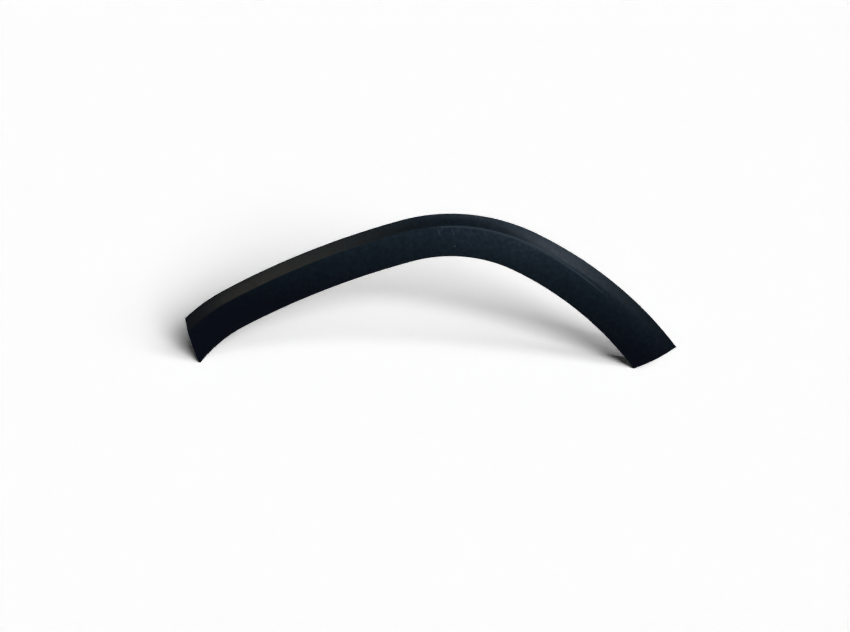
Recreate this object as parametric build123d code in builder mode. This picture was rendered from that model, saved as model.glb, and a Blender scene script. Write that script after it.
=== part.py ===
from build123d import *
import os
from math import atan2, cos, degrees, exp, radians, sin, tan

# Wheel arch trim, standing on its two ends as it does on a floor: X runs along the car, Z is up,
# and the show side looks towards -Y. All sizes are in millimetres and degrees.

# Line of the wheel opening: four tangent arcs from the left foot over the crown to the right foot
FOOT_HEADING = 52.0
FOOT_RADIUS = 219.5
FOOT_SWEEP = 22.9
LEG_RADIUS = 1151.0
LEG_SWEEP = 12.9
CROWN_RADIUS = 196.0
CROWN_SWEEP = 42.6
REAR_RADIUS = 472.0

# Body side that the trim follows: bowed along the car and leaning inboard towards the roof
BOW_RADIUS = 8000.0
LEAN_ANGLE = 4.0

# Section of the moulding
WALL = 2.6
LEFT_WIDTH = 58.7
CROWN_WIDTH = 60.6
RIGHT_WIDTH = 66.9
LEFT_BEVEL = 16.2
CROWN_BEVEL = 14.6
RIGHT_BEVEL = 20.4
CREASE_HEIGHT = 11.0
RIGHT_CREASE_HEIGHT = 8.5
EDGE_HEIGHT = 8.0
FACE_CROWN = 2.0
CROWN_COVE = 1.3
END_COVE = 0.25
COVE_REACH = 80.0
EDGE_RADIUS = 3.0
ROOT_CHAMFER = 1.2
LEFT_CREASE_RADIUS = 8.0
CROWN_CREASE_RADIUS = 1.0
RIGHT_CREASE_RADIUS = 60.0
FLANGE_REACH = 32.0

# Ends: angles of the cuts above the floor, the square toe below the left cut and the rounded right foot
LEFT_CUT = 74.3
RIGHT_CUT = 27.5
TOE_WIDTH = 3.5
FOOT_ROUND = 2.5

# Cross ribs on the back
RIB_THICKNESS = 1.6
RIB_GAP = 1.0
RIB_FOOT = 13.0
RIB_DROP = 14.0
RIBS_PER_BAY = 2

# Clip towers on the back, spaced evenly between the end margins
CLIP_COUNT = 6
CLIP_MARGIN = 58.0
CLIP_OFFSET = 24.0
TOWER_LENGTH = 22.0
TOWER_WIDTH = 20.0
TOWER_WALL = 1.8
TOWER_PLATE = 2.0
TOWER_PAD = 1.2
CLIP_SEAT = 2.0

# Push-in clip: a head in the tower's pocket, a neck in its slot, a sealing cone and a flat barbed blade
HEAD_WIDTH = 13.0
HEAD_THICKNESS = 1.6
NECK_RADIUS = 3.2
NECK_PLAY = 0.3
SEAT_PLAY = 0.1
SEAL_RADIUS = 8.5
SEAL_THICKNESS = 1.8
BLADE_WIDTH = 4.8
BLADE_THICKNESS = 3.0
BLADE_SHOULDER = 2.2
BARB_WIDTH = 8.4
BARB_EDGE = 0.6
BARB_PITCH = 2.8
BARB_COUNT = 3
TIP_WIDTH = 2.4
TIP_LENGTH = 3.0

# Screw holes in the return flange, one in the middle of each bay between two clips
SCREW_RADIUS = 3.25
SCREW_DEPTH = 20.0

# Spacing of the sections along the opening line, and how far it runs past the right foot
SECTION_PITCH = 30.0
OVERRUN = 40.0


# The opening line is drawn flat: x along the car, y up, the left toe at its origin
with BuildLine() as opening:
    foot = JernArc((0, 0), (cos(radians(FOOT_HEADING)), sin(radians(FOOT_HEADING))), FOOT_RADIUS, -FOOT_SWEEP)
    leg = JernArc(foot @ 1, foot % 1, LEG_RADIUS, -LEG_SWEEP)
    crown = JernArc(leg @ 1, leg % 1, CROWN_RADIUS, -CROWN_SWEEP)
    rear = JernArc(crown @ 1, crown % 1, REAR_RADIUS, Axis.X)
    tail = JernArc(rear @ 1, rear % 1, REAR_RADIUS, -degrees(OVERRUN / REAR_RADIUS))

opening_line = opening.wire()
span = (rear @ 1).X
reach = foot.length + leg.length + crown.length + rear.length
crown_place = foot.length + leg.length + crown.length / 2


def point_at(place):
    return opening_line.position_at(place, position_mode=PositionMode.LENGTH)


def heading_at(place):
    return opening_line.tangent_at(place, position_mode=PositionMode.LENGTH)


def stand(point):
    """A point of the flat opening line, stood up and pushed inboard as far as the body side lies there."""
    inboard = (point.X - span / 2) ** 2 / (2 * BOW_RADIUS) + point.Y * tan(radians(LEAN_ANGLE))
    return Vector(point.X, inboard, point.Y)


def section_plane(place):
    """Plane across the strip: local x leads away from the wheel, local y outboard."""
    heading = heading_at(place)
    return Plane(stand(point_at(place)), x_dir=(-heading.Y, 0, heading.X), z_dir=(heading.X, 0, heading.Y))


def back_plane(place, offset, height):
    """Plane on the back: local x runs along the strip, local y away from the wheel, z outboard."""
    across = section_plane(place)
    return Plane(across.from_local_coords((offset, height)), x_dir=across.z_dir, z_dir=(0, -1, 0))


def end_share(place):
    """0 at the crown, rising to 1 at the left toe and at the right foot."""
    if place < crown_place:
        return 1 - place / crown_place
    return (place - crown_place) / (reach - crown_place)


def faded(crown_size, left_size, right_size, place):
    """A size that changes slowly near the crown, and faster towards its value at each end."""
    end_size = left_size if place < crown_place else right_size
    return crown_size + (end_size - crown_size) * end_share(place) ** 2


def width_at(place):
    return faded(CROWN_WIDTH, LEFT_WIDTH, RIGHT_WIDTH, place)


def bevel_at(place):
    return faded(CROWN_BEVEL, LEFT_BEVEL, RIGHT_BEVEL, place)


def crease_radius(place):
    return faded(CROWN_CREASE_RADIUS, LEFT_CREASE_RADIUS, RIGHT_CREASE_RADIUS, place)


def crease_height(place):
    return faded(CREASE_HEIGHT, CREASE_HEIGHT, RIGHT_CREASE_HEIGHT, place)


def cove_at(place):
    """Hollow of the bevel, deepest at the crown and nearly flat away from it."""
    beside = (place - crown_place) / COVE_REACH
    return END_COVE + (CROWN_COVE - END_COVE) * exp(-beside ** 2)


def slope_at(place):
    """Slope of the bevel, as an angle from the body side."""
    return atan2(crease_height(place), bevel_at(place))


def face_height(place, offset):
    """Height of the show face above the body side, at an offset from the wheel opening."""
    share = offset / (width_at(place) - bevel_at(place))
    return EDGE_HEIGHT + (crease_height(place) - EDGE_HEIGHT) * share + 4 * FACE_CROWN * share * (1 - share)


def skin_corners(place, depth):
    """Corners of the surface that lies at a depth under the show surface, from the flange to the lip."""
    width, slope = width_at(place), slope_at(place)
    flange_end = (depth, -FLANGE_REACH)
    edge = (depth, EDGE_HEIGHT - depth)
    crease = (width - bevel_at(place) - depth * tan(slope / 2), crease_height(place) - depth)
    lip = (width - depth / sin(slope), 0)
    return flange_end, edge, crease, lip


def draw_skin(place, depth):
    """Flange, crowned face and coved bevel as three lines of the section."""
    flange_end, edge, crease, lip = skin_corners(place, depth)
    Line(flange_end, edge)
    SagittaArc(edge, crease, FACE_CROWN)
    SagittaArc(crease, lip, -cove_at(place))
    return flange_end, edge, crease, lip


def wall_section(place):
    """Closed section of the moulding's wall, with its edges rounded."""
    with BuildSketch(section_plane(place)) as section:
        with BuildLine():
            outer = draw_skin(place, 0)
            inner = draw_skin(place, WALL)
            Line(outer[0], inner[0])
            Line(outer[3], inner[3])
        make_face()
        fillet(section.vertices().sort_by_distance(outer[1])[0], EDGE_RADIUS)
        fillet(section.vertices().sort_by_distance(outer[2])[0], crease_radius(place))
        chamfer(section.vertices().sort_by_distance(inner[1])[0], ROOT_CHAMFER)
    return section.sketch


def buried_line(place):
    """Corners of a line in the middle of the wall, where ribs and towers grow out of it."""
    flange_end, edge, crease, lip = skin_corners(place, WALL / 2)
    slope, cove = slope_at(place), cove_at(place)
    face_middle = (edge[0] + crease[0]) / 2
    bevel_middle = (
        (crease[0] + lip[0]) / 2 - cove * sin(slope),
        (crease[1] + lip[1]) / 2 - cove * cos(slope),
    )
    return [flange_end, edge, (face_middle, face_height(place, face_middle) - WALL / 2), crease, bevel_middle, lip]


def rib_section(place, drop):
    """Web across the strip, with a free edge just short of the body panel that runs down to the flange."""
    far = width_at(place) + FLANGE_REACH
    with BuildSketch(section_plane(place)) as section:
        with BuildLine():
            Polyline(*buried_line(place), close=True)
        make_face()
        with BuildLine():
            Polyline((0, -drop), (RIB_FOOT, RIB_GAP), (far, RIB_GAP), (far, -far), (0, -far), close=True)
        make_face(mode=Mode.SUBTRACT)
    return section.sketch


def tower_section(place):
    """Clip tower seen along the strip, from its plate to the middle of the face's wall."""
    face_top = CREASE_HEIGHT + FACE_CROWN
    with BuildSketch(section_plane(place)) as section:
        with BuildLine():
            Polyline(*buried_line(place), close=True)
        make_face()
        with Locations((CLIP_OFFSET, CLIP_SEAT)):
            Rectangle(TOWER_WIDTH, face_top, align=(Align.CENTER, Align.MIN), mode=Mode.INTERSECT)
    return section.sketch


def spread(start, end, count):
    return [start + (end - start) * index / (count - 1) for index in range(count)]


section_count = round((reach + OVERRUN) / SECTION_PITCH) + 1
section_places = spread(0, reach + OVERRUN, section_count)
clip_places = spread(CLIP_MARGIN, reach - CLIP_MARGIN, CLIP_COUNT)
bay = clip_places[1] - clip_places[0]
screw_places = [place + bay / 2 for place in clip_places[:-1]]
rib_steps = [(index + 1) / (RIBS_PER_BAY + 1) for index in range(RIBS_PER_BAY)]
rib_places = [place + bay * step for place in clip_places[:-1] for step in rib_steps]

# The end cuts are planes along Y, through the toe on the left and the foot on the right
toe = section_plane(0).from_local_coords((TOE_WIDTH, 0))
left_cut = Plane(toe, x_dir=(0, 1, 0), z_dir=(sin(radians(LEFT_CUT)), 0, cos(radians(LEFT_CUT))))
right_foot = stand(rear @ 1)
right_cut = Plane(right_foot, x_dir=(0, 1, 0), z_dir=(-sin(radians(RIGHT_CUT)), 0, cos(radians(RIGHT_CUT))))
end_sections = round((max(RIGHT_WIDTH, LEFT_WIDTH) + OVERRUN) / SECTION_PITCH) + 1


with BuildPart() as left_wall:
    loft(sections=[rib_section(place, FLANGE_REACH) for place in section_places[:end_sections]])
    split(bisect_by=left_cut.offset(WALL), keep=Keep.BOTTOM)


with BuildPart() as right_wall:
    loft(sections=[rib_section(place, FLANGE_REACH) for place in section_places[-end_sections:]])
    split(bisect_by=right_cut.offset(WALL), keep=Keep.BOTTOM)


# Cross ribs, and clip towers with a pocket for the clip's head and a neck slot, open to one side
with BuildPart() as back_webs:
    for place in rib_places:
        extrude(rib_section(place, RIB_DROP), amount=RIB_THICKNESS / 2, both=True)
    for place in clip_places:
        extrude(tower_section(place), amount=TOWER_LENGTH / 2, both=True)
        pocket_top = CLIP_SEAT + TOWER_PLATE
        with BuildSketch(back_plane(place, CLIP_OFFSET, pocket_top)):
            with Locations((TOWER_WALL, 0)):
                Rectangle(TOWER_LENGTH, TOWER_WIDTH - 2 * TOWER_WALL)
        extrude(amount=face_height(place, CLIP_OFFSET) - WALL - TOWER_PAD - pocket_top, mode=Mode.SUBTRACT)
        with BuildSketch(back_plane(place, CLIP_OFFSET, CLIP_SEAT)):
            Circle(NECK_RADIUS + NECK_PLAY)
            Rectangle(TOWER_LENGTH, 2 * (NECK_RADIUS + NECK_PLAY), align=(Align.MIN, Align.CENTER))
        extrude(amount=TOWER_PLATE, mode=Mode.SUBTRACT)


with BuildPart() as screw_holes:
    for place in screw_places:
        across = section_plane(place)
        with BuildSketch(Plane(across.from_local_coords((0, -SCREW_DEPTH)), z_dir=across.x_dir)):
            Circle(SCREW_RADIUS)
        extrude(amount=2 * WALL, both=True)


# Sharp corner of the right foot outside its rounding, as a prism along Y
foot_back = Vector(0, 0) - heading_at(reach)
foot_along = Vector(cos(radians(RIGHT_CUT)), sin(radians(RIGHT_CUT)))
foot_half_angle = radians(foot_back.get_angle(foot_along)) / 2
foot_tangent = FOOT_ROUND / tan(foot_half_angle)

with BuildPart() as foot_corner:
    with BuildSketch(Plane.XZ):
        with BuildLine():
            corner = rear @ 1
            on_flange = corner + foot_back * foot_tangent
            on_cut = corner + foot_along * foot_tangent
            outside = corner - (foot_back + foot_along) * foot_tangent
            Polyline(on_flange, outside, on_cut)
            RadiusArc(on_cut, on_flange, FOOT_ROUND)
        make_face()
    extrude(amount=2 * FLANGE_REACH, both=True)


with BuildPart() as strip:
    loft(sections=[wall_section(place) for place in section_places])
    add([left_wall.part, right_wall.part, back_webs.part])
    add(screw_holes.part, mode=Mode.SUBTRACT)
    split(bisect_by=left_cut, keep=Keep.TOP)
    split(bisect_by=right_cut, keep=Keep.TOP)
    add(foot_corner.part, mode=Mode.SUBTRACT)


# One clip on its own axis: z is 0 at the tower's plate and positive towards the show face
head_under = TOWER_PLATE + SEAT_PLAY
seal_under = -SEAT_PLAY - SEAL_THICKNESS
barbs_start = seal_under - BLADE_SHOULDER
tip_start = barbs_start - BARB_COUNT * BARB_PITCH

with BuildPart() as clip:
    with BuildSketch(Plane.XY.offset(head_under)):
        Rectangle(HEAD_WIDTH, HEAD_WIDTH)
    extrude(amount=HEAD_THICKNESS)
    with BuildSketch(Plane.XY.offset(seal_under)):
        Circle(NECK_RADIUS)
    extrude(amount=head_under - seal_under)
    with BuildSketch(Plane.XZ):
        with BuildLine():
            Polyline((0, -SEAT_PLAY), (NECK_RADIUS, -SEAT_PLAY), (SEAL_RADIUS, seal_under), (0, seal_under), close=True)
        make_face()
    revolve(axis=Axis.Z)
    with BuildSketch(Plane.XZ):
        with BuildLine():
            outline = [(0, seal_under), (BLADE_WIDTH / 2, seal_under)]
            for index in range(BARB_COUNT):
                barb_top = barbs_start - index * BARB_PITCH
                outline += [(BLADE_WIDTH / 2, barb_top), (BARB_WIDTH / 2, barb_top - BARB_EDGE)]
            outline += [(BLADE_WIDTH / 2, tip_start), (TIP_WIDTH / 2, tip_start - TIP_LENGTH)]
            outline += [(0, tip_start - TIP_LENGTH)]
            Polyline(*outline, close=True)
        make_face()
        mirror(about=Plane.YZ)
    extrude(amount=BLADE_THICKNESS / 2, both=True)


# Both nodes are moved so that the origin lies on the floor under the middle of the moulding
box = strip.part.bounding_box()
to_floor = Vector(-box.center().X, -box.center().Y, -box.min.Z)
clip_seats = [back_plane(place, CLIP_OFFSET, CLIP_SEAT).location for place in clip_places]

with BuildPart() as arch_moulding:
    with Locations(to_floor):
        add(strip.part)

with BuildPart() as panel_clips:
    with Locations(*[Location(to_floor) * seat for seat in clip_seats]):
        add(clip.part)

os.makedirs("parts", exist_ok=True)
arch_moulding.part.label = "arch_moulding"
panel_clips.part.label = "panel_clips"
export_step(arch_moulding.part, "parts/arch_moulding.step")
export_step(panel_clips.part, "parts/panel_clips.step")
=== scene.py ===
from math import acos, cos, pi, radians, sin, tan

import bmesh
import bpy
import numpy as np
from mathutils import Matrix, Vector
from mathutils.kdtree import KDTree


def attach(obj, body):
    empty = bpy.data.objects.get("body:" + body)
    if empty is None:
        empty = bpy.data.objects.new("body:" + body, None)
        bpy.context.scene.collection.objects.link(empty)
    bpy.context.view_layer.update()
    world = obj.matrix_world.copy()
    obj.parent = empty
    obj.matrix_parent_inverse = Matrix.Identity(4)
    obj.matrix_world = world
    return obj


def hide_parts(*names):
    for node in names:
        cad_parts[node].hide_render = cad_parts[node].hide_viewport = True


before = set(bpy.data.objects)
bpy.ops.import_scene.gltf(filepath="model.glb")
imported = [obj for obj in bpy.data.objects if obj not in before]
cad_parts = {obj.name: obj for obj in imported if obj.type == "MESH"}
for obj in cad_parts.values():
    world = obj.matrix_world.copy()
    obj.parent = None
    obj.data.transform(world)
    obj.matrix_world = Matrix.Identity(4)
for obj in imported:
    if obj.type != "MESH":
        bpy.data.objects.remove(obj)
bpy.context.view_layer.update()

# Sizes of the moulding, in millimetres and degrees, as in the solid model
FOOT_HEADING = 52.0
FOOT_RADIUS, FOOT_SWEEP = 219.5, 22.9
LEG_RADIUS, LEG_SWEEP = 1151.0, 12.9
CROWN_RADIUS, CROWN_SWEEP = 196.0, 42.6
REAR_RADIUS = 472.0
OVERRUN = 40.0
BOW_RADIUS = 8000.0
LEAN_ANGLE = 4.0
WALL = 2.6
LEFT_WIDTH, CROWN_WIDTH, RIGHT_WIDTH = 58.7, 60.6, 66.9
LEFT_BEVEL, CROWN_BEVEL, RIGHT_BEVEL = 16.2, 14.6, 20.4
CREASE_HEIGHT, RIGHT_CREASE_HEIGHT, EDGE_HEIGHT = 11.0, 8.5, 8.0
FACE_CROWN = 2.0
CROWN_COVE, END_COVE, COVE_REACH = 1.3, 0.25, 80.0
EDGE_RADIUS, ROOT_RADIUS = 3.0, 1.2
LEFT_CREASE_RADIUS, CROWN_CREASE_RADIUS, RIGHT_CREASE_RADIUS = 8.0, 1.0, 60.0
INNER_CREASE_RADIUS = 1.0
FLANGE_REACH = 32.0
LEFT_CUT, RIGHT_CUT = 74.3, 27.5
TOE_WIDTH, FOOT_ROUND = 3.5, 2.5
RIB_THICKNESS, RIB_GAP, RIB_FOOT, RIB_DROP, RIBS_PER_BAY = 1.6, 1.0, 13.0, 14.0, 2
WEB_TIP = 0.5
CLIP_COUNT, CLIP_MARGIN, CLIP_OFFSET, CLIP_SEAT = 6, 58.0, 24.0, 2.0
TOWER_LENGTH, TOWER_WIDTH, TOWER_WALL, TOWER_PLATE = 22.0, 20.0, 1.8, 2.0
NECK_RADIUS, NECK_PLAY, SEAT_PLAY = 3.2, 0.3, 0.1
HEAD_WIDTH, HEAD_THICKNESS = 13.0, 1.6
SEAL_RADIUS, SEAL_THICKNESS = 8.5, 1.8
BLADE_WIDTH, BLADE_THICKNESS, BLADE_SHOULDER = 4.8, 3.0, 2.2
BARB_WIDTH, BARB_EDGE, BARB_PITCH, BARB_COUNT = 8.4, 0.6, 2.8, 3
TIP_WIDTH, TIP_LENGTH = 2.4, 3.0
SCREW_RADIUS, SCREW_DEPTH = 3.25, 20.0

# Painted highlight along the crease: its width, and how far it runs from the crown and eases out
CREASE_HIGHLIGHT_WIDTH, CREASE_HIGHLIGHT_START, CREASE_HIGHLIGHT_END, CREASE_HIGHLIGHT_EASE = 0.9, -45.0, 200.0, 40.0

# Fineness of the mesh: points on each stretch of the section, stations along the strip, points across the
# cut wall and round a circle, steps along the opening line and across the strip, and points that are merged
FLANGE_POINTS, EDGE_POINTS, FACE_POINTS, CREASE_POINTS, BEVEL_POINTS = 9, 9, 25, 10, 14
STATIONS, RIM_POINTS, ROUND_POINTS = 221, 6, 40
LINE_STEP, OFFSET_STEP, OFFSET_MARGIN = 0.25, 0.25, 6.0
MERGE_DISTANCE = 0.02

# Point of the section where the highlight along the crease is painted: on the crease's round, a third of the
# way from the face. Each stretch shares its first point with the one before it
CREASE_HIGHLIGHT_POINT = FLANGE_POINTS + EDGE_POINTS + FACE_POINTS - 3 + CREASE_POINTS // 3

# Small rounds on the sharp edges of the webs and clips, and the turns that are rounded or shaded as sharp
WEB_ROUND, CLIP_ROUND, ROUND_SEGMENTS = 0.25, 0.2, 2
ROUND_ANGLE, SHARP_ANGLE, CLIP_SHARP_ANGLE = 40.0, 32.0, 35.0

# Camera, from the outline of the object in the photograph
CAMERA_AZIMUTH, CAMERA_ELEVATION = 2.0, 22.0
CAMERA_DISTANCE = 2200.0
CAMERA_TARGET = (-7.0, -19.2, 76.3)
FOCAL_PIXELS, IMAGE_WIDTH = 1561.6, 850.0
SENSOR_WIDTH = 36.0
CLIP_END = 100.0

MM = 0.001
SQUARE = ((-1, -1), (1, -1), (1, 1), (-1, 1))


# Line of the wheel opening: heading, position and inboard shift at each step along it

headings = [radians(FOOT_HEADING)]
for sweep in (FOOT_SWEEP, LEG_SWEEP, CROWN_SWEEP):
    headings.append(headings[-1] - radians(sweep))
arc_radii = [FOOT_RADIUS, LEG_RADIUS, CROWN_RADIUS, REAR_RADIUS]
crown_end_height = sum(r * (cos(b) - cos(a)) for r, a, b in zip(arc_radii, headings, headings[1:]))
headings.append(-acos(cos(headings[-1]) - crown_end_height / REAR_RADIUS))
arc_lengths = [r * (a - b) for r, a, b in zip(arc_radii, headings, headings[1:])]
arc_ends = np.cumsum([0.0] + arc_lengths)
reach = arc_ends[-1]
crown_place = arc_ends[2] + arc_lengths[2] / 2

line_places = np.arange(0.0, reach + OVERRUN, LINE_STEP)
line_headings = np.interp(line_places, arc_ends, headings)
past_foot = line_places > reach
line_headings[past_foot] = headings[-1] - (line_places[past_foot] - reach) / REAR_RADIUS
step_headings = (line_headings[1:] + line_headings[:-1]) / 2
line_x = np.concatenate([[0.0], np.cumsum(np.cos(step_headings))]) * LINE_STEP
line_z = np.concatenate([[0.0], np.cumsum(np.sin(step_headings))]) * LINE_STEP
span = np.interp(reach, line_places, line_x)
line_y = (line_x - span / 2) ** 2 / (2 * BOW_RADIUS) + line_z * tan(radians(LEAN_ANGLE))


def at(place, values):
    return np.interp(place, line_places, values)


def spot(place, u, v):
    """Point of the strip: u leads away from the wheel opening, v outboard; arrays or numbers."""
    heading = at(place, line_headings)
    x = at(place, line_x) - np.sin(heading) * u
    y = at(place, line_y) - v
    z = at(place, line_z) + np.cos(heading) * u
    return np.stack(np.broadcast_arrays(x, y, z), axis=-1)


def along(place):
    """Direction of the strip at one place."""
    heading = at(place, line_headings)
    return np.array([cos(heading), 0.0, sin(heading)])


# Section of the wall: a row of points from the end of the flange round the face to the lip

def faded(crown_size, left_size, right_size, places):
    """A size that changes slowly near the crown, and faster towards its value at each end."""
    falling = (places - crown_place) / (reach - crown_place)
    share = np.where(places < crown_place, 1 - places / crown_place, falling)
    end_size = np.where(places < crown_place, left_size, right_size)
    return crown_size + (end_size - crown_size) * share ** 2


def arc_centre(start, end, bulge):
    """Centre and radius of the arc over a chord; a positive bulge lies on the chord's left."""
    chord = end - start
    bulge = np.reshape(bulge, (-1, 1))
    length = np.linalg.norm(chord, axis=-1, keepdims=True)
    left = np.stack([-chord[..., 1], chord[..., 0]], axis=-1) / length
    radius = (length ** 2 / 4 + bulge ** 2) / (2 * abs(bulge))
    centre = (start + end) / 2 - left * np.sign(bulge) * (radius - abs(bulge))
    return centre, radius[..., 0]


def arc_points(centre, radius, start, end, count):
    """Points on an arc from the direction of one point to that of another."""
    first = np.arctan2(start[:, 1] - centre[:, 1], start[:, 0] - centre[:, 0])
    last = np.arctan2(end[:, 1] - centre[:, 1], end[:, 0] - centre[:, 0])
    angles = first[:, None] + (last - first)[:, None] * np.linspace(0, 1, count)
    offsets = np.stack([np.cos(angles), np.sin(angles)], axis=-1)
    return centre[:, None] + offsets * np.reshape(radius, (-1, 1, 1))


def towards(origin, point, distance):
    """Points at a distance from the origins, on the way to other points."""
    direction = point - origin
    length = np.linalg.norm(direction, axis=-1, keepdims=True)
    return origin + direction * np.reshape(distance, (-1, 1)) / length


def skin(places, depth, edge_round, crease_round):
    """Sections of the surface at a depth under the show surface, as u and v for each place and point."""
    width = faded(CROWN_WIDTH, LEFT_WIDTH, RIGHT_WIDTH, places)
    bevel = faded(CROWN_BEVEL, LEFT_BEVEL, RIGHT_BEVEL, places)
    height = faded(CREASE_HEIGHT, CREASE_HEIGHT, RIGHT_CREASE_HEIGHT, places)
    cove = END_COVE + (CROWN_COVE - END_COVE) * np.exp(-((places - crown_place) / COVE_REACH) ** 2)
    slope = np.arctan2(height, bevel)
    level = np.zeros_like(places)
    edge = np.stack([level + depth, level + EDGE_HEIGHT - depth], axis=-1)
    crease = np.stack([width - bevel - depth * np.tan(slope / 2), height - depth], axis=-1)
    lip = np.stack([width - depth / np.sin(slope), level], axis=-1)
    face_centre, face_radius = arc_centre(edge, crease, FACE_CROWN)
    bevel_centre, bevel_radius = arc_centre(crease, lip, -cove)

    edge_u = level + depth + edge_round
    edge_v = face_centre[:, 1] + np.sqrt((face_radius - edge_round) ** 2 - (edge_u - face_centre[:, 0]) ** 2)
    edge_centre = np.stack([edge_u, edge_v], axis=-1)
    flange_top = np.stack([level + depth, edge_v], axis=-1)
    face_start = towards(face_centre, edge_centre, face_radius)

    # The crease's round touches the face from below and the bevel's hollow from outside
    apart = np.linalg.norm(bevel_centre - face_centre, axis=-1)
    face_reach, bevel_reach = face_radius - crease_round, bevel_radius + crease_round
    forward = (face_reach ** 2 - bevel_reach ** 2 + apart ** 2) / (2 * apart)
    aside = np.sqrt(face_reach ** 2 - forward ** 2)
    line = (bevel_centre - face_centre) / apart[:, None]
    across = np.stack([-line[:, 1], line[:, 0]], axis=-1)
    middle = face_centre + line * forward[:, None]
    options = [middle + across * aside[:, None], middle - across * aside[:, None]]
    nearer = np.linalg.norm(options[0] - crease, axis=-1) < np.linalg.norm(options[1] - crease, axis=-1)
    crease_centre = np.where(nearer[:, None], options[0], options[1])
    face_end = towards(face_centre, crease_centre, face_radius)
    bevel_start = towards(bevel_centre, crease_centre, bevel_radius)

    flange_end = np.stack([level + depth, level - FLANGE_REACH], axis=-1)
    flange_share = np.linspace(0, 1, FLANGE_POINTS)[:, None]
    stretches = [
        flange_end[:, None] + (flange_top - flange_end)[:, None] * flange_share,
        arc_points(edge_centre, level + edge_round, flange_top, face_start, EDGE_POINTS)[:, 1:],
        arc_points(face_centre, face_radius, face_start, face_end, FACE_POINTS)[:, 1:],
        arc_points(crease_centre, level + crease_round, face_end, bevel_start, CREASE_POINTS)[:, 1:],
        arc_points(bevel_centre, bevel_radius, bevel_start, lip, BEVEL_POINTS)[:, 1:],
    ]
    return np.concatenate(stretches, axis=1)


crease_round = faded(CROWN_CREASE_RADIUS, LEFT_CREASE_RADIUS, RIGHT_CREASE_RADIUS, line_places)
outer_skin = skin(line_places, 0.0, EDGE_RADIUS, crease_round)
inner_skin = skin(line_places, WALL, ROOT_RADIUS, INNER_CREASE_RADIUS)
POINTS = outer_skin.shape[1]


def section_at(place, sections):
    """The row of points of the section at one place."""
    index = min(int(round(place / LINE_STEP)), len(line_places) - 1)
    return sections[index]


# Ends: the place along the strip where each offset u meets the cuts, the toe and the rounded foot

def end_places(offsets):
    """First and last place along the strip at each offset, found on the flat side view."""
    toe = spot(0.0, TOE_WIDTH, 0.0)
    left_normal = np.array([sin(radians(LEFT_CUT)), 0, cos(radians(LEFT_CUT))])
    foot = spot(reach, 0.0, 0.0)
    right_normal = np.array([-sin(radians(RIGHT_CUT)), 0, cos(radians(RIGHT_CUT))])
    back = -along(reach)
    cut = np.array([cos(radians(RIGHT_CUT)), 0, sin(radians(RIGHT_CUT))])
    half_angle = acos(float(back @ cut)) / 2
    round_start = foot + back * FOOT_ROUND / tan(half_angle)
    bisector = (back + cut) / np.linalg.norm(back + cut)
    round_centre = foot + bisector * FOOT_ROUND / sin(half_angle)
    starts, ends = [], []
    for offset in offsets:
        points = spot(line_places, offset, 0.0)
        points[:, 1] = 0.0
        past_left = (points - toe * [1, 0, 1]) @ left_normal >= 0
        before_right = (points - foot * [1, 0, 1]) @ right_normal >= 0
        in_corner = (points - round_start * [1, 0, 1]) @ bisector < 0
        outside_round = np.linalg.norm((points - round_centre) * [1, 0, 1], axis=-1) > FOOT_ROUND
        kept = past_left & before_right & ~(in_corner & outside_round & (line_places > reach / 2))
        kept_places = line_places[kept]
        starts.append(kept_places[0])
        ends.append(kept_places[-1])
    return np.array(starts), np.array(ends)


offset_grid = np.arange(0.0, RIGHT_WIDTH + OFFSET_MARGIN, OFFSET_STEP)
start_grid, end_grid = end_places(offset_grid)


def start_of(offset):
    return np.interp(offset, offset_grid, start_grid)


def end_of(offset):
    return np.interp(offset, offset_grid, end_grid)


def skin_grid(sections):
    """Points of one skin between its cut ends, for each station and section point."""
    columns = []
    for index in range(POINTS):
        u_line, v_line = sections[:, index, 0], sections[:, index, 1]
        start = start_of(np.interp(start_of(u_line[0]), line_places, u_line))
        end = end_of(np.interp(end_of(u_line[-1]), line_places, u_line))
        places = start + (end - start) * np.linspace(0, 1, STATIONS)
        columns.append(spot(places, at(places, u_line), at(places, v_line)))
    return np.stack(columns, axis=1)


class MeshMaker:
    """Gathers points and faces, in millimetres on the opening line's own frame, into one mesh."""

    def __init__(self):
        self.points, self.faces = [], []

    def add_points(self, points):
        first = len(self.points)
        self.points.extend(np.reshape(points, (-1, 3)))
        return first

    def add_grid(self, points):
        """A sheet of quads over a rows x columns array of points."""
        rows, columns = points.shape[:2]
        first = self.add_points(points)
        for row in range(rows - 1):
            for column in range(columns - 1):
                corner = first + row * columns + column
                self.faces.append((corner, corner + columns, corner + columns + 1, corner + 1))

    def add_prism(self, bottom, top):
        """A closed solid between two outlines of the same number of points."""
        count = len(bottom)
        first = self.add_points(bottom)
        second = self.add_points(top)
        self.faces.append(tuple(range(first + count - 1, first - 1, -1)))
        self.faces.append(tuple(range(second, second + count)))
        for index in range(count):
            following = (index + 1) % count
            self.faces.append((first + index, first + following, second + following, second + index))

    def build(self, name, shift):
        mesh = bpy.data.meshes.new(name)
        mesh.from_pydata([tuple((point + shift) * MM) for point in self.points], [], self.faces)
        shape = bmesh.new()
        shape.from_mesh(mesh)
        bmesh.ops.remove_doubles(shape, verts=shape.verts, dist=MERGE_DISTANCE * MM)
        bmesh.ops.recalc_face_normals(shape, faces=shape.faces)
        shape.to_mesh(mesh)
        shape.free()
        piece = bpy.data.objects.new(name, mesh)
        bpy.context.scene.collection.objects.link(piece)
        return piece


def round_edges(piece, width):
    modifier = piece.modifiers.new("edges", "BEVEL")
    modifier.width = width * MM
    modifier.segments = ROUND_SEGMENTS
    modifier.limit_method = "ANGLE"
    modifier.angle_limit = radians(ROUND_ANGLE)


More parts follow.
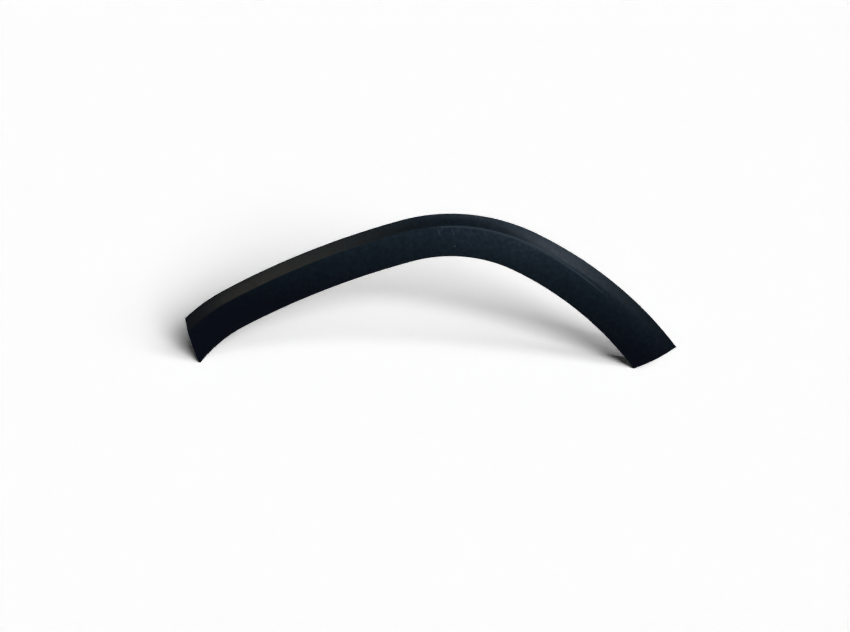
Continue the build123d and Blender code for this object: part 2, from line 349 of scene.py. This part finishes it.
def finish_mesh(piece, sharp_angle):
    """Makes the modifiers part of the mesh, and shades it smooth apart from its sharp edges."""
    evaluated = piece.evaluated_get(bpy.context.evaluated_depsgraph_get())
    mesh = bpy.data.meshes.new_from_object(evaluated)
    piece.modifiers.clear()
    piece.data = mesh
    mesh.polygons.foreach_set("use_smooth", [True] * len(mesh.polygons))
    mesh.set_sharp_from_angle(angle=radians(sharp_angle))


# The strip's shell

outer_grid, inner_grid = skin_grid(outer_skin), skin_grid(inner_skin)
shell = MeshMaker()
shell.add_grid(outer_grid)
shell.add_grid(inner_grid)


def rim_grid(place_of, station):
    """Cut end of the wall, with enough points across it to follow the rounded foot."""
    place = float(place_of(0.0))
    outer, inner = section_at(place, outer_skin), section_at(place, inner_skin)
    rows = []
    for share in np.linspace(0, 1, RIM_POINTS):
        row = outer + (inner - outer) * share
        rows.append(spot(place_of(row[:, 0]), row[:, 0], row[:, 1]))
    rows[0], rows[-1] = outer_grid[station], inner_grid[station]
    return np.stack(rows, axis=1)


start_rim, end_rim = rim_grid(start_of, 0), rim_grid(end_of, -1)
shell.add_grid(start_rim)
shell.add_grid(end_rim)
for edge in (0, -1):
    thickness = (inner_grid[:, edge] - outer_grid[:, edge])[:, None]
    strip = outer_grid[:, edge, None] + thickness * np.linspace(0, 1, RIM_POINTS)[:, None]
    strip[0], strip[-1] = start_rim[edge], end_rim[edge]
    shell.add_grid(strip)


def free_edge(u, drop):
    """Height of the free edge of a rib, which runs down to the flange."""
    return np.where(u < RIB_FOOT, -drop + (RIB_GAP + drop) * u / RIB_FOOT, RIB_GAP)


def web_outline(place, drop):
    """Outline of a web across the strip, from the middle of the wall to its free edge."""
    middle = (section_at(place, outer_skin) + section_at(place, inner_skin))[FLANGE_POINTS - 1:] / 2
    above = middle[middle[:, 1] > free_edge(middle[:, 0], drop) + WEB_TIP]
    first_u, last_u = above[0, 0], above[-1, 0]
    foot = [(first_u, float(free_edge(first_u, drop)))]
    return np.concatenate([foot, above, [(last_u, RIB_GAP), (RIB_FOOT, RIB_GAP)]])


def spread(start, end, count):
    return [start + (end - start) * index / (count - 1) for index in range(count)]


clip_places = spread(CLIP_MARGIN, reach - CLIP_MARGIN, CLIP_COUNT)
bay = clip_places[1] - clip_places[0]
screw_places = [place + bay / 2 for place in clip_places[:-1]]
rib_places = [
    place + bay * (index + 1) / (RIBS_PER_BAY + 1)
    for place in clip_places[:-1]
    for index in range(RIBS_PER_BAY)
]

webs = MeshMaker()
for place in rib_places:
    outline = web_outline(place, RIB_DROP)
    flat = spot(place, outline[:, 0], outline[:, 1])
    half = along(place) * RIB_THICKNESS / 2
    webs.add_prism(flat - half, flat + half)


def add_end_wall(place_of, inward):
    """Web that closes the channel behind a cut end."""
    place = float(place_of(0.0))
    inner = section_at(place, inner_skin)
    top = inner[FLANGE_POINTS:]
    top = top[top[:, 1] > RIB_GAP]
    low = np.stack([top[:, 0], free_edge(top[:, 0], FLANGE_REACH)], axis=-1)
    loop = np.concatenate([top, low[::-1]])
    places = place_of(loop[:, 0])
    outside = spot(places, loop[:, 0], loop[:, 1])
    inside = spot(places + inward, loop[:, 0], loop[:, 1])
    count = len(top)
    for sheet in (outside, inside):
        webs.add_grid(np.stack([sheet[:count], sheet[:count - 1:-1]], axis=1))
    webs.add_grid(np.stack([np.append(sheet, sheet[:1], axis=0) for sheet in (outside, inside)], axis=1))


add_end_wall(start_of, WALL)
add_end_wall(end_of, -WALL)


# Clip towers: a slotted plate on three walls, with x along the strip and y away from the wheel

def on_back(place, flat_points, height):
    """Points of the back at a height v, from pairs of places along and across the strip."""
    flat_points = np.asarray(flat_points, float)
    return spot(place, CLIP_OFFSET + flat_points[:, 1], height) + along(place) * flat_points[:, :1]


half_length, half_width = TOWER_LENGTH / 2, TOWER_WIDTH / 2
slot = NECK_RADIUS + NECK_PLAY
slot_round = [(slot * cos(a), slot * sin(a)) for a in np.linspace(1.5 * pi, 0.5 * pi, ROUND_POINTS // 2)]
plate_outline = (
    [(-half_length, -half_width), (half_length, -half_width), (half_length, -slot)]
    + slot_round
    + [(half_length, slot), (half_length, half_width), (-half_length, half_width)]
)
pocket_end, pocket_side = TOWER_WALL - half_length, half_width - TOWER_WALL
walls_outline = [
    (-half_length, -half_width), (half_length, -half_width),
    (half_length, -pocket_side), (pocket_end, -pocket_side),
    (pocket_end, pocket_side), (half_length, pocket_side),
    (half_length, half_width), (-half_length, half_width),
]
plate_top, plate_middle = CLIP_SEAT + TOWER_PLATE, CLIP_SEAT + TOWER_PLATE / 2
for place in clip_places:
    inner = section_at(place, inner_skin)[FLANGE_POINTS:]
    wall_middle = np.interp(CLIP_OFFSET, inner[:, 0], inner[:, 1]) + WALL / 2
    webs.add_prism(on_back(place, plate_outline, CLIP_SEAT), on_back(place, plate_outline, plate_top))
    webs.add_prism(on_back(place, walls_outline, plate_middle), on_back(place, walls_outline, wall_middle))


# Screw holes through the flange

cutters = MeshMaker()
angles = np.linspace(0, 2 * pi, ROUND_POINTS, endpoint=False)
inboard = np.array([0, 1, 0]) * SCREW_RADIUS * np.sin(angles)[:, None]
for place in screw_places:
    sides = along(place) * SCREW_RADIUS * np.cos(angles)[:, None] + inboard
    cutters.add_prism(spot(place, -WALL, -SCREW_DEPTH) + sides, spot(place, 2 * WALL, -SCREW_DEPTH) + sides)

shell_points = np.array(shell.points)
to_floor = -(shell_points.min(0) + shell_points.max(0)) / 2
to_floor[2] = -shell_points[:, 2].min()

moulding = shell.build("moulding", to_floor)
cutter = cutters.build("screw_cutter", to_floor)
drill = moulding.modifiers.new("holes", "BOOLEAN")
drill.operation = "DIFFERENCE"
drill.solver = "EXACT"
drill.object = cutter
finish_mesh(moulding, SHARP_ANGLE)
bpy.data.objects.remove(cutter)


def mark_crease_highlight(piece):
    """Stores how strongly a highlight is painted at each point: along the crease, on both sides of the
    crown.
    """
    crease_line = KDTree(len(line_places))
    crease_u, crease_v = outer_skin[:, CREASE_HIGHLIGHT_POINT].T
    for index, point in enumerate(spot(line_places, crease_u, crease_v) + to_floor):
        crease_line.insert(point, index)
    crease_line.balance()
    highlight_levels = []
    for vertex in piece.data.vertices:
        _, index, distance = crease_line.find(vertex.co / MM)
        beside = line_places[index] - crown_place
        run = np.clip(min(beside - CREASE_HIGHLIGHT_START, CREASE_HIGHLIGHT_END - beside) / CREASE_HIGHLIGHT_EASE, 0.0, 1.0)
        highlight_levels.append(float(run * np.exp(-(distance / CREASE_HIGHLIGHT_WIDTH) ** 2)))
    layer = piece.data.attributes.new("crease_highlight", "FLOAT", "POINT")
    layer.data.foreach_set("value", highlight_levels)


mark_crease_highlight(moulding)

back_webs = webs.build("back_webs", to_floor)
round_edges(back_webs, WEB_ROUND)
finish_mesh(back_webs, SHARP_ANGLE)


# Push-in clips: head, neck, sealing cone and barbed blade, with z outboard of the tower's plate

def clip_point(place, x, y, z):
    return spot(place, CLIP_OFFSET + y, CLIP_SEAT + z) + along(place) * x


clips = MeshMaker()
head_under = TOWER_PLATE + SEAT_PLAY
seal_under = -SEAT_PLAY - SEAL_THICKNESS
barbs_start = seal_under - BLADE_SHOULDER
tip_start = barbs_start - BARB_COUNT * BARB_PITCH
half_head, half_blade = HEAD_WIDTH / 2, BLADE_THICKNESS / 2
head_square = [(x * half_head, y * half_head) for x, y in SQUARE]
blade_side = [(BLADE_WIDTH / 2, seal_under)]
for index in range(BARB_COUNT):
    barb_top = barbs_start - index * BARB_PITCH
    blade_side += [(BLADE_WIDTH / 2, barb_top), (BARB_WIDTH / 2, barb_top - BARB_EDGE)]
blade_side += [(BLADE_WIDTH / 2, tip_start), (TIP_WIDTH / 2, tip_start - TIP_LENGTH)]
blade_outline = blade_side + [(-x, z) for x, z in reversed(blade_side)]
seal_profile = [
    (0.0, head_under + SEAT_PLAY), (NECK_RADIUS, head_under + SEAT_PLAY), (NECK_RADIUS, -SEAT_PLAY),
    (SEAL_RADIUS, seal_under), (0.0, seal_under),
]
turns = np.linspace(0, 2 * pi, ROUND_POINTS + 1)
for place in clip_places:
    low = [clip_point(place, x, y, head_under) for x, y in head_square]
    high = [clip_point(place, x, y, head_under + HEAD_THICKNESS) for x, y in head_square]
    clips.add_prism(np.array(low), np.array(high))
    near = [clip_point(place, x, -half_blade, z) for x, z in blade_outline]
    far = [clip_point(place, x, half_blade, z) for x, z in blade_outline]
    clips.add_prism(np.array(near), np.array(far))
    rings = [[clip_point(place, r * cos(a), r * sin(a), z) for a in turns] for r, z in seal_profile]
    clips.add_grid(np.array(rings))

panel_clips = clips.build("clips", to_floor)
round_edges(panel_clips, CLIP_ROUND)
finish_mesh(panel_clips, CLIP_SHARP_ANGLE)


# Materials

# Plastic: its colours from darkest to palest, and where each stands on that scale; painted shade takes it
# towards the dark end, and painted light, a painted highlight and pale scuffs towards the pale end
PLASTIC_DARK = (0.0001, 0.0008, 0.0030)
PLASTIC_MIDDLE = (0.0022, 0.0054, 0.0085)
PLASTIC_PAINTED_LIT = (0.0062, 0.0115, 0.0180)
PLASTIC_HIGHLIGHT_AND_SCUFF = (0.0160, 0.0240, 0.0330)
TONE_STOPS = (0.10, 0.45, 0.75, 1.0)
PLASTIC_SPECULAR = 0.0375

# What sets its tone: painted light round one spot, in metres, then painted shade and light by how the
# surface tilts up or turns back, then a painted highlight along the crease and pale scuffs
PAINTED_LIGHT_CENTRE, PAINTED_LIGHT_STRETCH = (0.098, 0.0, 0.190), 2.2
PAINTED_LIGHT_REACH, PAINTED_LIGHT_LEVELS = (0.200, 0.020), (0.02, 0.72)
# Painted shade where the surface tilts down and painted light where it tilts up; painted shade where the
# bevel faces up
FACE_TILT, TILT_PAINTED_LIGHT_AND_SHADE = (-0.25, 0.10), (-0.19, 0.12)
BEVEL_TILT, BEVEL_PAINTED_SHADE = (0.42, 0.62), (0.0, -0.35)
# Painted light on surfaces that turn back or sideways
BACK_TILT, BACK_PAINTED_LIGHT = (-0.30, 0.0), (0.0, 0.32)
CREASE_HIGHLIGHT_LEVEL, SCUFF_FADE = 0.8, 1.3

# Noise, as scale, detail and roughness: mottle and speckle with their spread on that scale, and uneven gloss
MOTTLE_NOISE, MOTTLE = (170.0, 5.0, 0.65), 0.75
SPECKLE_NOISE, SPECKLE = (900.0, 2.0, 0.5), 0.35
GLOSS_NOISE, GLOSS_SPREAD, GLOSS_ROUGHNESS = (380.0, 4.0, 0.65), (0.3, 0.7), (0.29, 0.45)
GRAIN_SCALE, GRAIN_STRENGTH, GRAIN_DEPTH = 900.0, 0.25, 0.12

# Pale scuffs under the crown: x, z, half length and half width in millimetres, and angle above the x axis;
# then where they fade out towards their rims, and the noise that breaks them up
SCUFFS = [
    (12.5, 201.0, 6.0, 1.0, -72.0),
    (16.5, 205.5, 4.5, 0.9, 52.0),
    (19.8, 208.3, 5.0, 1.1, 4.0),
    (32.0, 200.5, 6.5, 0.9, -67.0),
    (58.4, 208.0, 4.0, 1.0, -2.0),
    (33.8, 180.3, 2.6, 1.7, 20.0),
]
SCUFF_RIM = (1.0, 0.3)
SCUFF_NOISE, SCUFF_SPREAD, SCUFF_LEVELS = (500.0, 2.0, 0.5), (0.35, 0.6), (0.25, 1.0)

# Nylon of the clips
NYLON_NOISE, NYLON_SPREAD, NYLON_ROUGHNESS = (220.0, 3.0, 0.5), (0.3, 0.7), (0.36, 0.48)
NYLON_DULL, NYLON_PALE = (0.56, 0.54, 0.47), (0.66, 0.64, 0.57)


def new_material(name):
    material = bpy.data.materials.new(name)
    material.use_nodes = True
    nodes, links = material.node_tree.nodes, material.node_tree.links
    return material, nodes, links, nodes["Principled BSDF"]


def noise(nodes, links, place, scale, detail, roughness):
    node = nodes.new("ShaderNodeTexNoise")
    node.inputs["Scale"].default_value = scale
    node.inputs["Detail"].default_value = detail
    node.inputs["Roughness"].default_value = roughness
    links.new(place, node.inputs["Vector"])
    return node.outputs["Fac"]


def ramp(nodes, links, value, stops):
    node = nodes.new("ShaderNodeValToRGB")
    links.new(value, node.inputs["Fac"])
    elements = node.color_ramp.elements
    while len(elements) < len(stops):
        elements.new(0.5)
    for element, (position, colour) in zip(elements, stops):
        element.position = position
        element.color = (*colour, 1.0)
    return node.outputs["Color"]


def map_range(nodes, links, value, low, high, to_low, to_high):
    node = nodes.new("ShaderNodeMapRange")
    links.new(value, node.inputs["Value"])
    for name, number in (("From Min", low), ("From Max", high), ("To Min", to_low), ("To Max", to_high)):
        node.inputs[name].default_value = number
    return node.outputs["Result"]


def combine(nodes, links, first, second, operation="ADD"):
    node = nodes.new("ShaderNodeMath")
    node.operation = operation
    links.new(first, node.inputs[0])
    links.new(second, node.inputs[1])
    return node.outputs["Value"]


def painted_light_distance(nodes, links, place):
    """Distance from the spot painted lightest, seen from the front, where x counts for less."""
    offset = nodes.new("ShaderNodeVectorMath")
    offset.operation = "SUBTRACT"
    links.new(place, offset.inputs[0])
    offset.inputs[1].default_value = PAINTED_LIGHT_CENTRE
    flat = nodes.new("ShaderNodeVectorMath")
    flat.operation = "MULTIPLY"
    links.new(offset.outputs["Vector"], flat.inputs[0])
    flat.inputs[1].default_value = (1.0 / PAINTED_LIGHT_STRETCH, 0.0, 1.0)
    length = nodes.new("ShaderNodeVectorMath")
    length.operation = "LENGTH"
    links.new(flat.outputs["Vector"], length.inputs[0])
    return length.outputs["Value"]


def scuff_mask(nodes, links, place):
    """1 inside the scuffs and 0 elsewhere, broken up by noise."""
    breaks = noise(nodes, links, place, *SCUFF_NOISE)
    breaks = map_range(nodes, links, breaks, *SCUFF_SPREAD, *SCUFF_LEVELS)
    stains = None
    for x, z, long_half, short_half, angle in SCUFFS:
        own = nodes.new("ShaderNodeMapping")
        own.vector_type = "TEXTURE"
        links.new(place, own.inputs["Vector"])
        own.inputs["Location"].default_value = (x * MM, 0.0, z * MM)
        own.inputs["Rotation"].default_value = (0.0, -radians(angle), 0.0)
        own.inputs["Scale"].default_value = (long_half * MM, 1.0, short_half * MM)
        length = nodes.new("ShaderNodeVectorMath")
        length.operation = "LENGTH"
        links.new(own.outputs["Vector"], length.inputs[0])
        stain = map_range(nodes, links, length.outputs["Value"], *SCUFF_RIM, 0.0, 1.0)
        stains = combine(nodes, links, stains, stain, "MAXIMUM") if stains else stain
    return combine(nodes, links, breaks, stains, "MULTIPLY")


def grained_plastic():
    material, nodes, links, shader = new_material("grained_plastic")
    coordinates = nodes.new("ShaderNodeTexCoord")
    place = coordinates.outputs["Object"]
    # Painted light: paler near one spot at the crown's right, darker towards the lower ends
    tone_with_painted_light = map_range(nodes, links, painted_light_distance(nodes, links, place), *PAINTED_LIGHT_REACH, *PAINTED_LIGHT_LEVELS)
    facing = nodes.new("ShaderNodeSeparateXYZ")
    links.new(coordinates.outputs["Normal"], facing.inputs["Vector"])
    crease_highlight = nodes.new("ShaderNodeAttribute")
    crease_highlight.attribute_name = "crease_highlight"
    mottle = noise(nodes, links, place, *MOTTLE_NOISE)
    speckle = noise(nodes, links, place, *SPECKLE_NOISE)
    # Painted shade and light by tilt and by turning back, random mottle and speckle, a painted highlight
    # along the crease, and pale scuffs
    for cause in (
        map_range(nodes, links, facing.outputs["Z"], *FACE_TILT, *TILT_PAINTED_LIGHT_AND_SHADE),
        map_range(nodes, links, facing.outputs["Z"], *BEVEL_TILT, *BEVEL_PAINTED_SHADE),
        map_range(nodes, links, facing.outputs["Y"], *BACK_TILT, *BACK_PAINTED_LIGHT),
        map_range(nodes, links, mottle, 0.0, 1.0, -MOTTLE / 2, MOTTLE / 2),
        map_range(nodes, links, speckle, 0.0, 1.0, -SPECKLE / 2, SPECKLE / 2),
        map_range(nodes, links, crease_highlight.outputs["Fac"], 0.0, 1.0, 0.0, CREASE_HIGHLIGHT_LEVEL),
        map_range(nodes, links, scuff_mask(nodes, links, place), 0.0, 1.0, 0.0, SCUFF_FADE),
    ):
        tone_with_painted_light = combine(nodes, links, tone_with_painted_light, cause)
    stops = zip(TONE_STOPS, (PLASTIC_DARK, PLASTIC_MIDDLE, PLASTIC_PAINTED_LIT, PLASTIC_HIGHLIGHT_AND_SCUFF))
    links.new(ramp(nodes, links, tone_with_painted_light, list(stops)), shader.inputs["Base Color"])
    gloss = noise(nodes, links, place, *GLOSS_NOISE)
    links.new(map_range(nodes, links, gloss, *GLOSS_SPREAD, *GLOSS_ROUGHNESS), shader.inputs["Roughness"])
    grain = nodes.new("ShaderNodeTexVoronoi")
    grain.inputs["Scale"].default_value = GRAIN_SCALE
    links.new(place, grain.inputs["Vector"])
    bump = nodes.new("ShaderNodeBump")
    bump.inputs["Strength"].default_value = GRAIN_STRENGTH
    bump.inputs["Distance"].default_value = GRAIN_DEPTH * MM
    links.new(grain.outputs["Distance"], bump.inputs["Height"])
    links.new(bump.outputs["Normal"], shader.inputs["Normal"])
    shader.inputs["Specular IOR Level"].default_value = PLASTIC_SPECULAR
    return material


def clip_nylon():
    material, nodes, links, shader = new_material("clip_nylon")
    place = nodes.new("ShaderNodeTexCoord").outputs["Object"]
    cloud = noise(nodes, links, place, *NYLON_NOISE)
    colour = ramp(nodes, links, cloud, list(zip(NYLON_SPREAD, (NYLON_DULL, NYLON_PALE))))
    links.new(colour, shader.inputs["Base Color"])
    links.new(map_range(nodes, links, cloud, *NYLON_SPREAD, *NYLON_ROUGHNESS), shader.inputs["Roughness"])
    return material


plastic, nylon = grained_plastic(), clip_nylon()
for piece, material, slot_name in (
    (moulding, plastic, "grained_plastic"),
    (back_webs, plastic, "grained_plastic"),
    (panel_clips, nylon, "clip_nylon"),
):
    piece.data.materials.clear()
    piece.data.materials.append(material)
    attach(piece, "root")
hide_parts("arch_moulding")
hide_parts("panel_clips")


# Floor: its size in metres, and its level where it throws light back and where it is seen

FLOOR_SIZE = 40.0
FLOOR_COLOUR, FLOOR_SEEN = 0.95, 1.58


def seen_level(nodes, links, lit, seen):
    """One level for rays that see or mirror a thing, and another for the light that it throws back."""
    rays = nodes.new("ShaderNodeLightPath").outputs
    any_seen = combine(nodes, links, rays["Is Camera Ray"], rays["Is Glossy Ray"])
    any_seen = combine(nodes, links, any_seen, rays["Is Transmission Ray"])
    return map_range(nodes, links, any_seen, 0.0, 1.0, lit, seen)


def floor_paint():
    """White paper: bright where it is seen or mirrored, and an ordinary white where it throws light back."""
    material, nodes, links, plain = new_material("floor")
    nodes.remove(plain)
    paper = nodes.new("ShaderNodeBsdfDiffuse")
    links.new(seen_level(nodes, links, FLOOR_COLOUR, FLOOR_SEEN), paper.inputs["Color"])
    links.new(paper.outputs["BSDF"], nodes["Material Output"].inputs["Surface"])
    return material


floor_mesh = bpy.data.meshes.new("floor")
floor_corners = [(x * FLOOR_SIZE / 2, y * FLOOR_SIZE / 2, 0.0) for x, y in SQUARE]
floor_mesh.from_pydata(floor_corners, [], [(0, 1, 2, 3)])
floor = bpy.data.objects.new("floor", floor_mesh)
bpy.context.scene.collection.objects.link(floor)
floor_mesh.materials.append(floor_paint())


# Light: each lamp's azimuth, elevation, strength, width in degrees and colour

WHITE = (1.0, 1.0, 1.0)
KEY = (24.2, 24.3, 2.85, 21.7, WHITE)
SIDE = (47.4, 35.9, 1.22, 36.9, WHITE)
REFLECTORS = {
    "right_reflector": (45.0, 38.0, 3.05, 15.0, (0.77, 0.86, 1.0)),
    "left_reflector": (-52.0, 40.0, 1.75, 15.0, (1.0, 0.97, 0.70)),
    "front_reflector": (4.0, 26.0, 0.7, 15.0, WHITE),
}
BACK_LAMPS = {
    "back_right": (145.0, 35.0, 1.5, 25.0, WHITE),
    "back_left": (212.0, 35.0, 2.4, 25.0, WHITE),
}
WORLD_LEVEL, WORLD_SEEN = 0.02, 1.0


def look_from(azimuth, elevation):
    """Unit vector from the object towards a place round it; azimuth 0 is in front, 90 on the right."""
    a, e = radians(azimuth), radians(elevation)
    return Vector((sin(a) * cos(e), -cos(a) * cos(e), sin(e)))


def add_sun(name, azimuth, elevation, strength, angle, colour):
    data = bpy.data.lights.new(name, "SUN")
    data.energy = strength
    data.angle = radians(angle)
    data.color = colour
    sun = bpy.data.objects.new(name, data)
    sun.rotation_euler = look_from(azimuth, elevation).to_track_quat("Z", "Y").to_euler()
    bpy.context.scene.collection.objects.link(sun)
    return sun


# The key lamp gives light and shadow, but is not mirrored in the plastic
key = add_sun("key", *KEY)
key.visible_glossy = False
add_sun("side", *SIDE)

# Reflectors show in the gloss of the plastic and light nothing else
for name, lamp in REFLECTORS.items():
    add_sun(name, *lamp).visible_diffuse = False

# Soft lamps behind the part, for the part alone, so that they throw no second shadow on the floor
pieces = bpy.data.collections.new("pieces")
for piece in (moulding, back_webs, panel_clips):
    pieces.objects.link(piece)
for name, lamp in BACK_LAMPS.items():
    add_sun(name, *lamp).light_linking.receiver_collection = pieces

world = bpy.data.worlds.new("studio")
world.use_nodes = True
world_nodes, world_links = world.node_tree.nodes, world.node_tree.links
background = world_nodes["Background"]
background.inputs["Color"].default_value = (*WHITE, 1.0)
world_level = seen_level(world_nodes, world_links, WORLD_LEVEL, WORLD_SEEN)
world_links.new(world_level, background.inputs["Strength"])
bpy.context.scene.world = world
bpy.context.scene.view_settings.view_transform = "Standard"


# Camera

camera_data = bpy.data.cameras.new("camera")
camera_data.sensor_fit = "HORIZONTAL"
camera_data.sensor_width = SENSOR_WIDTH
camera_data.lens = FOCAL_PIXELS * SENSOR_WIDTH / IMAGE_WIDTH
camera_data.clip_end = CLIP_END
camera = bpy.data.objects.new("camera", camera_data)
back = look_from(CAMERA_AZIMUTH, CAMERA_ELEVATION)
camera.location = Vector(CAMERA_TARGET) * MM + back * CAMERA_DISTANCE * MM
camera.rotation_euler = back.to_track_quat("Z", "Y").to_euler()
bpy.context.scene.collection.objects.link(camera)
bpy.context.scene.camera = camera
